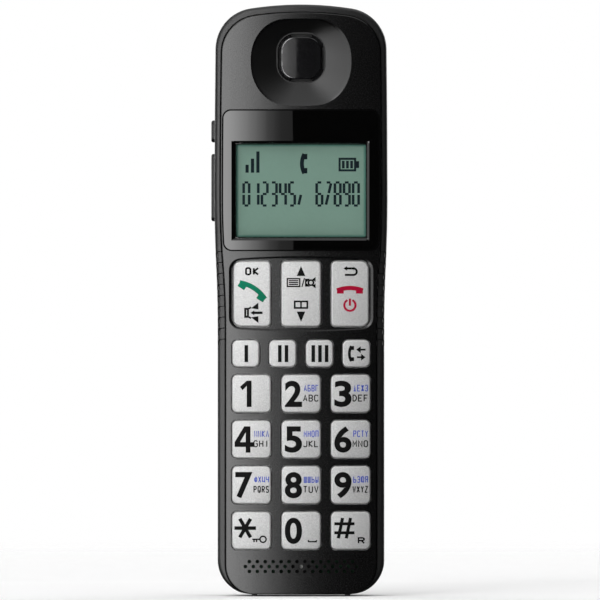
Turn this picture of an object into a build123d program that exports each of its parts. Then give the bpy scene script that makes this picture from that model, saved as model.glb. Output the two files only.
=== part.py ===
"""A cordless telephone handset, standing upright on its lower end.

Millimetres. +X is the user's right when facing the keys, +Y runs from the keys to the back, +Z is up.
The origin is on the surface that the handset stands on, under the middle of the case.
"""
from build123d import *
import math
import os

# ---- case ----
CASE_TOP = 164.0
CASE_FOOT = 0.5                       # lower end of the shells; the heel ribs reach down to 0
GRIP_HALF, HEAD_HALF, BROW_HALF = 23.1, 24.0, 23.6
BEND_LOW, BEND_HIGH = 74.0, 110.0     # the sides widen from grip to head between these heights
TOP_ARCH = 3.1                        # how far the top edge arches above its ends
TOP_CORNER, LOW_CORNER = 11.4, 9.5
FRONT_Y, BACK_Y = -12.5, 13.0         # middle of the front face, flat of the back
CROWN = 140.0                         # radius of the front face across the width
RIM_DROP, RIM_ROUND = 0.6, 1.0        # the rear shell's rim lies under the front face
RIM_END = 16.5                        # below the front cover the rim stops, this far from the middle
BACK_ROUND = 8.0
NAPE_Z, NAPE_DEPTH = 84.0, 2.5        # above this height the back curves forward
BACK_WALL, SIDE_WALL = 1.8, 2.2
RIB_X, RIB_W, RIB_Y = 12.9, 1.5, 9.0  # heel ribs that the handset stands on

# ---- front cover ----
COVER_GRIP, COVER_HEAD, COVER_BROW = 20.95, 22.4, 21.9
COVER_TOP, COVER_FOOT, COVER_ARCH = 161.8, 0.5, 2.6
COVER_CORNER, COVER_LOW_CORNER = 10.4, 8.0
COVER_EDGE = 0.35
SPLIT_Y = -7.0                        # where the front cover's skirt ends
WALL, SKIRT = 1.8, 1.0
GAP = 0.25                            # joint line between fixed shells

# ---- grip grooves ----
GROOVES, GROOVE_LOW, GROOVE_PITCH, GROOVE_W, GROOVE_LEAN, GROOVE_DEPTH = 9, 68.3, 3.05, 1.25, 32, 0.35

# ---- keys ----
KEY_PROUD = 0.9                       # key tops stand this far above the front face
FUNCTION_PROUD = 0.45
KEY_GAP, ROCKER_GAP = 0.28, 0.36      # between a key and its opening
FLANGE = 0.3                          # a key's flange reaches this far under the cover
FLANGE_DROP, ROCKER_DROP = 1.85, 2.45  # front of the flange, measured from the front face
KEY_BACK = -8.4
IN_FRONT = -16.0                      # a plane well in front of everything
KEY_DOME, FUNCTION_DOME = 45.0, 80.0  # radius of the key tops
KEY_SOFTEN = 0.45
COLUMN_PITCH, ROW_PITCH, ROW_LOW = 13.72, 12.65, 18.2
KEY_W, KEY_H, KEY_CORNER = 10.9, 10.5, 1.5
SMALL_Z, SMALL_PITCH, SMALL_W, SMALL_H, SMALL_CORNER = 67.25, 10.2, 7.6, 7.5, 1.6
FUNCTION_Z, FUNCTION_X, FUNCTION_W, FUNCTION_H = 83.8, 13.55, 10.4, 18.1
NAVIGATOR_W = 11.0
OUTER_CORNER, INNER_CORNER = 2.1, 1.3
TRAY_W, TRAY_H, TRAY_CORNER, TRAY_DEPTH = 40.2, 19.4, 3.2, 0.8
TRAY_SLOPE = 30

# ---- display and earpiece ----
LENS_LOW, LENS_HIGH, LENS_CORNER = 95.7, 134.9, 2.4
LENS_INSET, LENS_GAP, LENS_THICK, TAPE_THICK = 0.5, 0.1, 1.1, 0.15
WINDOW_W, WINDOW_H, WINDOW_Z, WINDOW_CORNER, WINDOW_SLOPE = 37.6, 27.2, 112.4, 1.2, 27
PAD_W, PAD_H, PAD_CORNER, PAD_BACK = 41.0, 31.0, 2.0, -9.6    # the frame that the display lies behind
LCD_Y, LCD_BACK = -9.1, -8.0
LCD_W, LCD_H = 39.4, 28.8
DISH_Z = 148.0
# the dish's sections: depth behind the face, width, height, corner
DISH = [(0.0, 31.9, 24.2, 11.6), (1.6, 22.4, 19.2, 8.8), (2.9, 13.7, 14.2, 5.4)]
DISH_PAD_W, DISH_PAD_H, DISH_PAD_CORNER, DISH_PAD_BACK = 32.0, 28.0, 12.0, -8.4
PORT_W, PORT_H, PORT_CORNER, INSERT_GAP = 12.9, 13.4, 4.7, 0.85
INSERT_Z = 149.2    # the insert sits a little above the middle of the dish
INSERT_FRONT, INSERT_DOME = -10.2, 80.0
SEAT_W, SEAT_H, SEAT_CORNER, INSERT_SEAT = 17.4, 17.6, 5.0, -9.0    # recess for the insert's flange

# ---- board and battery ----
BOARD_FRONT, BOARD_BACK, BOARD_W, BOARD_H, BOARD_Z = -6.8, -5.2, 38.0, 128.0, 70.0
MAT_W, MAT_H, MAT_Z, MAT_CORNER, MAT_FRONT = 38.0, 82.0, 52.5, 3.0, -7.4
DOME_R, DOME_HOLLOW, PILL_R, PILL_FRONT = 3.0, 2.3, 1.6, -7.75
NAVIGATOR_SPOT = 5.5                  # the navigator's two domes, above and below its middle
BAY_HALF, BAY_LOW, BAY_HIGH, BAY_FLOOR, BAY_WALL = 11.8, 20.0, 70.6, 0.4, 1.5
CELL_R, CELL_LONG, NUB_LONG, NUB_R, CELL_X, CELL_Y = 5.25, 44.5, 1.0, 1.9, 5.7, 5.75
DOOR_W, DOOR_LOW, DOOR_HIGH, DOOR_CORNER, DOOR_GAP = 34.0, 13.0, 80.5, 4.0, 0.15
DOOR_SEAT, LEDGE = 11.25, 9.4         # the wall that the door lies on, between these depths
CONTACT_X, CONTACT_W, CONTACT_THICK = 8.5, 3.2, 0.5
SPRING_WIRE, SPRING_RINGS, SPRING_PITCH = 0.34, 5, 0.49
SCREWS = [(-15.2, 95.85), (15.2, 95.85), (-18.2, 138.0), (18.2, 138.0)]
POST_R, BOSS_R, SCREW_R, HEAD_R, SEAT_Y, POST_END = 2.2, 3.3, 1.0, 2.0, 2.0, -2.2

# ---- sound ----
SPEAKER_Z, SPEAKER_R, SPEAKER_FRONT, SPEAKER_OPEN = 120.0, 11.5, 9.4, 9.4
GRILLE_PITCH, GRILLE_R, GRILLE_REACH = 2.3, 0.65, 8.2
MIC_PITCH, MIC_R, MIC_ROWS = 2.2, 0.5, [(6.9, 14), (8.25, 15), (9.6, 14)]    # (height, holes) of each row
CAPSULE_Z, CAPSULE_R, CAPSULE_FRONT, BOOT_R = 8.3, 2.3, -9.6, 3.0

# ---- side keys, on the left edge ----
SIDE_Y, SIDE_DEPTH, SIDE_PROUD, SIDE_GAP = -3.4, 4.6, 0.9, 0.3
SIDE_KEY_Z, SIDE_KEY_H = 128.9, 6.1
VOLUME_Z, VOLUME_H, VOLUME_PIN_X, PIN_R = 113.3, 18.7, -20.9, 0.5


# ---------------------------------------------------------------- helpers
def slab(sketch, y_from, y_to):
    """A sketch drawn as seen from the front, made solid between two depths."""
    return extrude(Plane.XZ.offset(-y_to) * sketch, amount=y_to - y_from)


def box(x, y, z):
    """A box from three (low, high) pairs."""
    size = Box(x[1] - x[0], y[1] - y[0], z[1] - z[0])
    return Pos((x[0] + x[1]) / 2, (y[0] + y[1]) / 2, (z[0] + z[1]) / 2) * size


def rod(x, z, radius, y_from, y_to):
    """A round bar that runs front to back."""
    return Pos(x, (y_from + y_to) / 2, z) * Rot(90, 0, 0) * Cylinder(radius, y_to - y_from)


def rounded(width, height, corner, x=0.0, z=0.0):
    return Pos(x, z) * RectangleRounded(width, height, corner)


def funnel(width, height, corner, z, y_from, y_to, slope):
    """A rounded opening that narrows from the front towards the back."""
    start = Plane(origin=(0, y_from, 0), x_dir=(1, 0, 0), z_dir=(0, 1, 0))
    return extrude(start * rounded(width, height, corner, 0, -z), amount=y_to - y_from, taper=slope)


def barrel(drop):
    """Everything behind the crowned front face, moved back by drop."""
    return Pos(0, FRONT_Y + CROWN, CASE_TOP / 2) * Cylinder(CROWN - drop, 2 * CASE_TOP)


def face_y(x):
    return FRONT_Y + CROWN - math.sqrt(CROWN * CROWN - x * x)


def outline(grip, head, brow, foot, top, arch, low_corner, top_corner):
    """Front view of the case: straight grip, wider head, arched top."""
    mid, mid_z = (grip + head) / 2, (BEND_LOW + BEND_HIGH) / 2
    bend = ((BEND_HIGH - mid_z) ** 2 + (head - mid) ** 2) / (2 * (head - mid))
    turn = math.asin((BEND_HIGH - mid_z) / bend) / 2
    out, up = bend * (1 - math.cos(turn)), bend * math.sin(turn)
    shoulder = top - arch
    edges = [Line((-grip, foot), (grip, foot))]
    for s in (1, -1):
        edges += [
            Line((s * grip, foot), (s * grip, BEND_LOW)),
            ThreePointArc((s * grip, BEND_LOW), (s * (grip + out), BEND_LOW + up), (s * mid, mid_z)),
            ThreePointArc((s * mid, mid_z), (s * (head - out), BEND_HIGH - up), (s * head, BEND_HIGH)),
            ThreePointArc((s * head, BEND_HIGH), (s * (3 * head + brow) / 4, (BEND_HIGH + shoulder) / 2),
                          (s * brow, shoulder)),
        ]
    edges.append(ThreePointArc((brow, shoulder), (0, top), (-brow, shoulder)))
    face = make_face(Curve() + edges)
    face = fillet([v for v in face.vertices() if abs(v.Y - foot) < 0.1], low_corner)
    return fillet([v for v in face.vertices() if abs(v.Y - shoulder) < 0.1], top_corner)


def case_body(inset, back_inset, drop, front_round):
    """The whole handset's rounded form, or a smaller one inside it."""
    face = outline(GRIP_HALF - inset, HEAD_HALF - inset, BROW_HALF - inset, CASE_FOOT + inset,
                   CASE_TOP - inset, TOP_ARCH, LOW_CORNER - inset, TOP_CORNER - inset)
    back = BACK_Y - back_inset
    rise = CASE_TOP - NAPE_Z
    far = 2 * rise
    side = make_face(Curve() + [
        Line((-30, -5), (back, -5)),
        Line((back, -5), (back, NAPE_Z)),
        ThreePointArc((back, NAPE_Z), (back - NAPE_DEPTH / 4, NAPE_Z + rise / 2),
                      (back - NAPE_DEPTH, CASE_TOP)),
        Line((back - NAPE_DEPTH, CASE_TOP), (back - NAPE_DEPTH, CASE_TOP + far)),
        Line((back - NAPE_DEPTH, CASE_TOP + far), (-30, CASE_TOP + far)),
        Line((-30, CASE_TOP + far), (-30, -5)),
    ])
    body = slab(face, FRONT_Y - 2, BACK_Y + 2) & extrude(Plane.YZ * side, amount=40, both=True)
    body = body & barrel(drop)
    rear = [e for e in body.edges() if e.center().Y > back - 5
            and not (abs(e.center().Z - NAPE_Z) < 0.5 and e.length > 30)]
    body = fillet(rear, BACK_ROUND - back_inset)
    if front_round:
        front = [e for e in body.faces().sort_by(Axis.Y)[0].edges()]
        body = fillet(front, front_round)
    return body


def cover_outline(inset):
    return outline(COVER_GRIP - inset, COVER_HEAD - inset, COVER_BROW - inset, COVER_FOOT + inset,
                   COVER_TOP - inset, COVER_ARCH, COVER_LOW_CORNER - inset, COVER_CORNER - inset)


def lens_outline(grow):
    height = LENS_HIGH - LENS_LOW + 2 * grow
    face = cover_outline(LENS_INSET - grow) & (Pos(0, (LENS_LOW + LENS_HIGH) / 2) * Rectangle(60, height))
    ends = (LENS_LOW - grow, LENS_HIGH + grow)
    corners = [v for v in face.vertices() if min(abs(v.Y - end) for end in ends) < 0.1]
    return fillet(corners, LENS_CORNER + grow)


def save(name, shape):
    print(name, round(shape.volume, 2))
    export_step(shape, "parts/" + name + ".step")


# ---------------------------------------------------------------- keys
def key_outline(key, grow=0.0):
    """Plan of a key, with its own corner sizes on the left and on the right."""
    width, height = key["size"]
    face = Rectangle(width + 2 * grow, height + 2 * grow)
    face = fillet(face.vertices().group_by(Axis.X)[0], key["corners"][0] + grow)
    face = fillet(face.vertices().group_by(Axis.X)[-1], key["corners"][1] + grow)
    return Pos(*key["at"]) * face


def digit_keys():
    names = ["1", "2", "3", "4", "5", "6", "7", "8", "9", "star", "0", "hash"]
    keys = []
    for i, name in enumerate(names):
        at = (COLUMN_PITCH * (i % 3 - 1), ROW_LOW + ROW_PITCH * (3 - i // 3))
        keys.append(dict(name="key_" + name, at=at, size=(KEY_W, KEY_H), corners=(KEY_CORNER, KEY_CORNER),
                         proud=KEY_PROUD, dome=KEY_DOME))
    return keys


def small_keys():
    names = ["memory_1", "memory_2", "memory_3", "intercom"]
    return [dict(name="key_" + name, at=(SMALL_PITCH * (i - 1.5), SMALL_Z), size=(SMALL_W, SMALL_H),
                 corners=(SMALL_CORNER, SMALL_CORNER), proud=KEY_PROUD, dome=KEY_DOME)
            for i, name in enumerate(names)]


def function_keys():
    talk = dict(name="key_talk", at=(-FUNCTION_X, FUNCTION_Z), size=(FUNCTION_W, FUNCTION_H),
                corners=(OUTER_CORNER, INNER_CORNER), proud=FUNCTION_PROUD, dome=FUNCTION_DOME)
    end = dict(talk, name="key_end", at=(FUNCTION_X, FUNCTION_Z), corners=(INNER_CORNER, OUTER_CORNER))
    navigator = dict(talk, name="key_navigator", at=(0, FUNCTION_Z), size=(NAVIGATOR_W, FUNCTION_H),
                     corners=(INNER_CORNER, INNER_CORNER), gap=ROCKER_GAP, drop=ROCKER_DROP)
    return [talk, navigator, end]


KEYS = function_keys() + small_keys() + digit_keys()


def key_solid(key):
    """A key cap with a domed top that leans with the crowned face, and a flange that keeps it in."""
    x, z = key["at"]
    lean = math.asin(x / CROWN)
    reach = key["dome"] - key["proud"]
    ball = Pos(x - reach * math.sin(lean), face_y(x) + reach * math.cos(lean), z) * Sphere(key["dome"])
    cap = slab(key_outline(key), IN_FRONT, KEY_BACK) & ball
    cap = fillet(cap.faces().sort_by(Axis.Y)[0].edges(), KEY_SOFTEN)
    flange = slab(key_outline(key, key.get("gap", KEY_GAP) + FLANGE), IN_FRONT, KEY_BACK)
    return cap + (flange & barrel(key.get("drop", FLANGE_DROP)))


def dome_spots():
    """Where the rubber mat has a dome: under each key, and two under the navigator."""
    spots = []
    for key in KEYS:
        x, z = key["at"]
        if key["name"] == "key_navigator":
            spots += [(x, z - NAVIGATOR_SPOT), (x, z + NAVIGATOR_SPOT)]
        else:
            spots.append((x, z))
    return spots


def keypad_mat():
    mat = slab(rounded(MAT_W, MAT_H, MAT_CORNER, 0, MAT_Z), MAT_FRONT, BOARD_FRONT)
    mat = mat + [rod(x, z, DOME_R, KEY_BACK + 0.02, MAT_FRONT + 0.1) for x, z in dome_spots()]
    return mat - [rod(x, z, DOME_HOLLOW, PILL_FRONT, BOARD_FRONT + 0.1) for x, z in dome_spots()]


def carbon_pills():
    return Compound(children=[rod(x, z, PILL_R, PILL_FRONT, MAT_FRONT) for x, z in dome_spots()])


# ---------------------------------------------------------------- shells
def front_case():
    shell = slab(cover_outline(0), FRONT_Y - 2, SPLIT_Y) & barrel(0)
    shell = fillet(shell.faces().sort_by(Axis.Y)[0].edges(), COVER_EDGE)
    hollow = slab(cover_outline(SKIRT), FRONT_Y - 2, SPLIT_Y + 1) & barrel(WALL)
    dish_pad = rounded(DISH_PAD_W, DISH_PAD_H, DISH_PAD_CORNER, 0, DISH_Z)
    hollow = hollow - slab(dish_pad, FRONT_Y - 2, DISH_PAD_BACK)
    hollow = hollow - slab(rounded(PAD_W, PAD_H, PAD_CORNER, 0, WINDOW_Z), FRONT_Y - 2, PAD_BACK)
    shell = shell - hollow
    shell = shell + [rod(x, z, POST_R, -10.6, POST_END - 0.05) for x, z in SCREWS]
    for s in (-1, 1):
        x = (s * 10 - 2.5, s * 10 + 2.5)
        shell = shell + box(x, (-10.4, SPLIT_Y - 0.05), (1.5, 3.8)) + box(x, (-7.1, -4.5), (2.8, 3.8))
    cuts = [rod(x, z, SCREW_R, -9.0, 0) for x, z in SCREWS]
    # display: pocket for the lens, then the window that narrows towards the display
    cuts.append(slab(lens_outline(LENS_GAP), IN_FRONT, -5) - barrel(LENS_THICK + TAPE_THICK))
    cuts.append(funnel(WINDOW_W, WINDOW_H, WINDOW_CORNER, WINDOW_Z, -11.25, -9.0, WINDOW_SLOPE))
    # earpiece: dish, sound port and a seat for the insert's flange
    cuts += [dish(), slab(rounded(PORT_W, PORT_H, PORT_CORNER, 0, INSERT_Z), -11, -8)]
    cuts.append(slab(rounded(SEAT_W, SEAT_H, SEAT_CORNER, 0, INSERT_Z), INSERT_SEAT, -8))
    # keys
    tray = funnel(TRAY_W + 3.4, TRAY_H + 3.4, TRAY_CORNER + 1.7, FUNCTION_Z, -14.2, -9, TRAY_SLOPE)
    cuts.append(tray - barrel(TRAY_DEPTH))
    cuts += [slab(key_outline(k, k.get("gap", KEY_GAP)), IN_FRONT, -9) for k in KEYS]
    for z, count in MIC_ROWS:
        cuts += [rod(MIC_PITCH * (i - (count - 1) / 2), z, MIC_R, -14, -9) for i in range(count)]
    return shell - cuts


def dish():
    """The hollow round the earpiece, smoothly dished from its outline in to the sound port."""
    rise = (INSERT_Z - DISH_Z) / DISH[-1][0]
    return loft([Plane.XZ.offset(-FRONT_Y - depth) * rounded(w, h, r, 0, DISH_Z + rise * depth)
                 for depth, w, h, r in DISH])


def grip_grooves():
    """Slanting grooves across both edges of the grip."""
    core = case_body(GROOVE_DEPTH, GROOVE_DEPTH, RIM_DROP + GROOVE_DEPTH, RIM_ROUND - GROOVE_DEPTH)
    skin = case_body(0, 0, RIM_DROP, RIM_ROUND) - core
    strip = box((-30, 30), (-12.5, -1.5), (60, 100))
    grooves = []
    for side in (-GRIP_HALF, GRIP_HALF):
        for i in range(GROOVES):
            place = Pos(side, -6.5, GROOVE_LOW + GROOVE_PITCH * i) * Rot(-GROOVE_LEAN, 0, 0)
            grooves.append(skin & (place * Box(5, 15, GROOVE_W) & strip))
    return grooves


def rear_case():
    outer = case_body(0, 0, RIM_DROP, RIM_ROUND)
    ribs = [box((x - RIB_W / 2, x + RIB_W / 2), (SPLIT_Y + 0.2, RIB_Y), (0, 3)) for x in (-RIB_X, RIB_X)]
    shell = outer + ribs
    shell = shell - case_body(SIDE_WALL, BACK_WALL, -3, 0)
    ledge = slab(rounded(DOOR_W + 3.6, DOOR_HIGH - DOOR_LOW + 3.6, DOOR_CORNER + 1.8, 0,
                         (DOOR_LOW + DOOR_HIGH) / 2), LEDGE, BACK_Y + 1)
    wall = BAY_WALL
    bay = box((-BAY_HALF - wall, BAY_HALF + wall), (BAY_FLOOR - wall, LEDGE + 1),
              (BAY_LOW - wall, BAY_HIGH + wall))
    bosses = [rod(x, z, BOSS_R, POST_END, BACK_Y) for x, z in SCREWS]
    ring = rod(0, SPEAKER_Z, SPEAKER_R, SPEAKER_FRONT + 0.2, BACK_Y)
    ring = ring - rod(0, SPEAKER_Z, SPEAKER_OPEN, 0, BACK_Y)
    for piece in [ledge, bay, ring] + bosses:
        shell = shell + (piece & outer)
    lugs = [box((-21.9, -20.1), y, (VOLUME_Z - 1.1, VOLUME_Z + 1.1)) for y in ((-6.95, -6.45), (-0.35, 0.65))]
    shell = shell + lugs
    cuts = [slab(cover_outline(-GAP), IN_FRONT, SPLIT_Y)]
    cuts.append(box((-RIM_END, RIM_END), (IN_FRONT, SPLIT_Y), (-1, 1.3)))
    cuts.append(slab(door_outline(DOOR_GAP), DOOR_SEAT, BACK_Y + 2))
    cuts.append(box((-BAY_HALF, BAY_HALF), (BAY_FLOOR, BACK_Y), (BAY_LOW, BAY_HIGH)))
    for x, z in SCREWS:
        cuts += [rod(x, z, HEAD_R + 0.2, SEAT_Y, BACK_Y + 1), rod(x, z, SCREW_R + 0.1, -3, SEAT_Y + 1)]
    cuts += [rod(x, z, GRILLE_R, SPEAKER_FRONT, BACK_Y + 1) for x, z in grille_spots()]
    cuts += [side_slot(SIDE_KEY_Z, SIDE_KEY_H), side_slot(VOLUME_Z, VOLUME_H), volume_pin()]
    cuts += [contact_strip(s) for s in (-1, 1)]
    return shell - cuts - grip_grooves()


def door_outline(grow):
    return rounded(DOOR_W + 2 * grow, DOOR_HIGH - DOOR_LOW + 2 * grow, DOOR_CORNER + grow, 0,
                   (DOOR_LOW + DOOR_HIGH) / 2)


def battery_cover():
    door = case_body(0, 0, RIM_DROP, 0) & slab(door_outline(0), DOOR_SEAT + 0.05, BACK_Y + 2)
    rim = box((-11.4, 11.4), (10.3, 11.6), (20.5, 70.1)) - box((-10.4, 10.4), (9, 12), (21.5, 69.1))
    grips = [box((-7 + 0.9 * i, 7 - 0.9 * i), (12.5, 14), (73.5 - 2.0 * i, 74.5 - 2.0 * i)) for i in range(5)]
    return door + rim - grips


def grille_spots():
    spots = []
    for row in range(-4, 5):
        for col in range(-5, 6):
            x = GRILLE_PITCH * (col + 0.5 * (row % 2))
            z = GRILLE_PITCH * row * math.sin(math.radians(60))
            if math.hypot(x, z) < GRILLE_REACH:
                spots.append((x, SPEAKER_Z + z))
    return spots


def side_slot(z, height):
    """Opening in the case's left wall for a side key."""
    half = (height / 2 + SIDE_GAP, SIDE_DEPTH / 2 + SIDE_GAP)
    return box((-30, -21), (SIDE_Y - half[1], SIDE_Y + half[1]), (z - half[0], z + half[0]))


# ---------------------------------------------------------------- display and earpiece
def display_lens():
    return (slab(lens_outline(0), IN_FRONT, -8) & barrel(0)) - barrel(LENS_THICK)


def lens_tape():
    """Black adhesive frame that holds the lens and masks it round the window."""
    band = (slab(lens_outline(-0.2), IN_FRONT, -5) & barrel(LENS_THICK)) - barrel(LENS_THICK + TAPE_THICK)
    return band - slab(rounded(WINDOW_W, WINDOW_H, WINDOW_CORNER, 0, WINDOW_Z), IN_FRONT, -5)


def lcd_gasket():
    frame = slab(rounded(39.4, 28.8, 1, 0, WINDOW_Z + 0.1), PAD_BACK, LCD_Y) & barrel(WALL + 0.02)
    return frame - slab(rounded(37.2, 26.8, 1, 0, WINDOW_Z), PAD_BACK - 1, LCD_Y + 1)


def lcd_glass():
    return slab(rounded(LCD_W, LCD_H, 0.5, 0, WINDOW_Z + 0.1), LCD_Y, LCD_BACK)


def lcd_backlight():
    return slab(rounded(LCD_W - 1, LCD_H - 1, 0.5, 0, WINDOW_Z + 0.1), LCD_BACK, BOARD_FRONT - 0.1)


def lcd_holder():
    frame = slab(rounded(41.6, 32.4, 1.5, 0, WINDOW_Z + 0.1), LCD_Y, BOARD_FRONT)
    frame = frame - slab(rounded(LCD_W + 0.2, LCD_H + 0.2, 0.6, 0, WINDOW_Z + 0.1), -12, -5)
    notch = box((-21.2, -19.9), (-7.3, -6), (VOLUME_Z - 1.4, VOLUME_Z + 1.4))
    return frame - notch - box((-17.7, 17.7), (-12, -5), (95, 98.2))


def lcd_ribbon():
    """Flat cable from the display's lower edge to the board."""
    return box((-8, 8), (-8.1, -7.95), (96.3, 98.1)) + box((-8, 8), (-8.1, BOARD_FRONT), (96.15, 96.3))


def earpiece_insert():
    cap = slab(rounded(PORT_W - 2 * INSERT_GAP, PORT_H - 2 * INSERT_GAP, PORT_CORNER - INSERT_GAP, 0, INSERT_Z),
               -12, INSERT_SEAT + 0.1)
    cap = cap & (Pos(0, INSERT_FRONT + INSERT_DOME, INSERT_Z) * Sphere(INSERT_DOME))
    cap = fillet(cap.faces().sort_by(Axis.Y)[0].edges(), 0.4)
    flange = rounded(SEAT_W - 0.4, SEAT_H - 0.4, SEAT_CORNER - 0.2, 0, INSERT_Z)
    flange = slab(flange, INSERT_SEAT + 0.05, -8.45)
    for s in (-1, 1):
        x = PORT_W / 2 - INSERT_GAP / 2
        flange = flange - box((s * x - 0.4, s * x + 0.4), (-10, -8), (INSERT_Z - 3, INSERT_Z + 3))
        z = INSERT_Z + s * (PORT_H / 2 - INSERT_GAP / 2)
        flange = flange - box((-3, 3), (-10, -8), (z - 0.4, z + 0.4))
    return cap + flange


def receiver():
    unit = rod(0, DISH_Z, 9.5, -8.1, -6.4) + rod(0, DISH_Z, 6.5, -6.5, -4.9)
    return unit - rod(0, DISH_Z, 7.0, -8.2, -7.6)


def receiver_gasket():
    return rod(0, DISH_Z, 9.5, DISH_PAD_BACK, -8.1) - rod(0, DISH_Z, 7.6, -9, -8)


# ---------------------------------------------------------------- sound
def loudspeaker():
    frame = rod(0, SPEAKER_Z, SPEAKER_R, 6.8, SPEAKER_FRONT) + rod(0, SPEAKER_Z, 8.5, 2.0, 6.9)
    cone = Pos(0, 7.6, SPEAKER_Z) * Rot(-90, 0, 0) * Cone(2.4, 9.0, 3.7)
    return frame + rod(0, SPEAKER_Z, 6.5, -1.2, 2.1) - cone


def loudspeaker_gasket():
    return rod(0, SPEAKER_Z, SPEAKER_R, SPEAKER_FRONT, SPEAKER_FRONT + 0.2) - rod(0, SPEAKER_Z, 9.6, 9, 10)


def microphone():
    return rod(0, CAPSULE_Z, CAPSULE_R, CAPSULE_FRONT, BOARD_FRONT)


def microphone_boot():
    boot = rod(0, CAPSULE_Z, BOOT_R, CAPSULE_FRONT - 0.9, BOARD_FRONT)
    boot = boot - rod(0, CAPSULE_Z, CAPSULE_R, CAPSULE_FRONT, -6)
    return boot - rod(0, CAPSULE_Z, CAPSULE_R / 2, -11, -9)


# ---------------------------------------------------------------- electronics
def main_board():
    board = slab(rounded(BOARD_W, BOARD_H, 5, 0, BOARD_Z), BOARD_FRONT, BOARD_BACK)
    return board - [rod(x, z, POST_R + 0.3, -8, -4) for x, z in SCREWS[:2]]


def rf_shield():
    can = box((-9, 9), (BOARD_BACK, -2.4), (78, 98))
    return can - box((-8.8, 8.8), (BOARD_BACK - 1, -2.6), (78.2, 97.8))


def board_chips():
    spots = [(-3, 91, 7, 7), (4, 84, 5, 5), (-14, 84, 4, 6), (14.5, 84, 4, 5), (-12, 60, 5, 4),
             (10, 50, 6, 6), (-8, 34, 4, 5), (5, 26, 5, 4), (13, 112, 5, 6), (-10, 12, 4, 4), (9, 12, 6, 3)]
    return Compound(children=[box((x - w / 2, x + w / 2), (BOARD_BACK, -4.1), (z - h / 2, z + h / 2))
                              for x, z, w, h in spots])


def antenna():
    """Stamped strip that stands on the board's top and turns across the head."""
    foot = box((-14.5, -12.5), (BOARD_BACK, -4.3), (129, 132))
    mast = box((-14.5, -12.5), (-4.6, -4.3), (129, 159))
    top = box((-14.5, 13), (-4.6, -4.3), (157.5, 159.5))
    return foot + mast + top + box((11, 13), (-4.6, -4.3), (151, 159))


def side_switches():
    """Three push switches on the board's left edge."""
    spots = [SIDE_KEY_Z, VOLUME_Z - 6, VOLUME_Z + 6]
    units = []
    for z in spots:
        stem = Pos(-19.3, SIDE_Y, z) * Rot(0, 90, 0) * Cylinder(0.9, 1.2)
        units.append(box((-19, -15.6), (BOARD_BACK, -2.0), (z - 2.2, z + 2.2)) + stem)
    return Compound(children=units)


# ---------------------------------------------------------------- side keys
def side_cap(z, height, inner):
    y = (SIDE_Y - SIDE_DEPTH / 2, SIDE_Y + SIDE_DEPTH / 2)
    cap = box((-HEAD_HALF - SIDE_PROUD, inner), y, (z - height / 2, z + height / 2))
    edges = cap.edges().filter_by(Axis.X)
    cap = fillet(edges, 1.4)
    return fillet(cap.faces().sort_by(Axis.X)[0].edges(), 0.6)


def side_key():
    cap = side_cap(SIDE_KEY_Z, SIDE_KEY_H, -21.2)
    flange = box((-21.5, -20.95), (-6.3, -0.5), (SIDE_KEY_Z - 3.65, SIDE_KEY_Z + 3.65))
    stem = Pos(-20.75, SIDE_Y, SIDE_KEY_Z) * Rot(0, 90, 0) * Cylinder(1.2, 0.5)
    return cap + flange + stem


def volume_rocker():
    cap = side_cap(VOLUME_Z, VOLUME_H, -20.9)
    flange = box((-21.1, -20.6), (-6.3, -0.5), (VOLUME_Z - 9.9, VOLUME_Z + 9.9))
    hub = box((-21.4, -20.2), (-6.3, -0.5), (VOLUME_Z - 1.1, VOLUME_Z + 1.1))
    rocker = cap + flange + hub
    for s in (-1, 1):
        rocker = rocker + Pos(-20.6, SIDE_Y, VOLUME_Z + 6 * s) * Rot(0, 90, 0) * Cylinder(1.2, 0.5)
    return rocker - rod(VOLUME_PIN_X, VOLUME_Z, PIN_R + 0.03, -10, 5)


def volume_pin():
    return rod(VOLUME_PIN_X, VOLUME_Z, PIN_R, -6.95, 0.65)


# ---------------------------------------------------------------- power
def contact_strip(side):
    """Charging contact that wraps the lower back edge, with a tail that runs up inside the case."""
    centre_y, centre_z = BACK_Y - BACK_ROUND, CASE_FOOT + BACK_ROUND
    ring = Circle(BACK_ROUND) - Circle(BACK_ROUND - CONTACT_THICK)
    wedge = make_face(Polyline((0, 0), (20, -7.3), (20, -22), (5.3, -20), close=True))
    band = Pos(centre_y, centre_z) * (ring & wedge)
    tail = Pos(centre_y + 5.2, 9.2) * Rectangle(CONTACT_THICK, 12.4)
    tail = tail - Pos(centre_y, centre_z) * (Rectangle(30, 30) - Circle(BACK_ROUND - 0.2))
    section = band + tail
    return Pos(side * CONTACT_X - CONTACT_W / 2, 0, 0) * extrude(Plane.YZ * section, amount=CONTACT_W)


def charge_contacts():
    return Compound(children=[contact_strip(s) for s in (-1, 1)])


def battery_cell(x, flip):
    nub = CELL_LONG - NUB_LONG
    cell = Pos(0, 0, nub / 2) * Cylinder(CELL_R, nub)
    cell = cell + Pos(0, 0, nub + NUB_LONG / 2) * Cylinder(NUB_R, NUB_LONG)
    cell = fillet(cell.edges().filter_by(GeomType.CIRCLE).group_by(Axis.Z)[0], 0.5)
    low = (BAY_LOW + BAY_HIGH - CELL_LONG) / 2
    if flip:
        return Pos(x, CELL_Y, low + CELL_LONG) * Rot(180, 0, 0) * cell
    return Pos(x, CELL_Y, low) * cell


def coil(x, z, up):
    """A compressed contact spring on its plate."""
    rings = [Pos(3.2 - 0.22 * i, 0.7 + SPRING_PITCH * i) * Circle(SPRING_WIRE) for i in range(SPRING_RINGS)]
    profile = Sketch() + rings + Pos(1.9, 0.25) * Rectangle(3.8, 0.5)
    spring = revolve(Plane.XZ * profile, Axis.Z)
    turn = Rot(0, 0, 0) if up else Rot(180, 0, 0)
    return Pos(x, CELL_Y, z) * turn * spring


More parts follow.
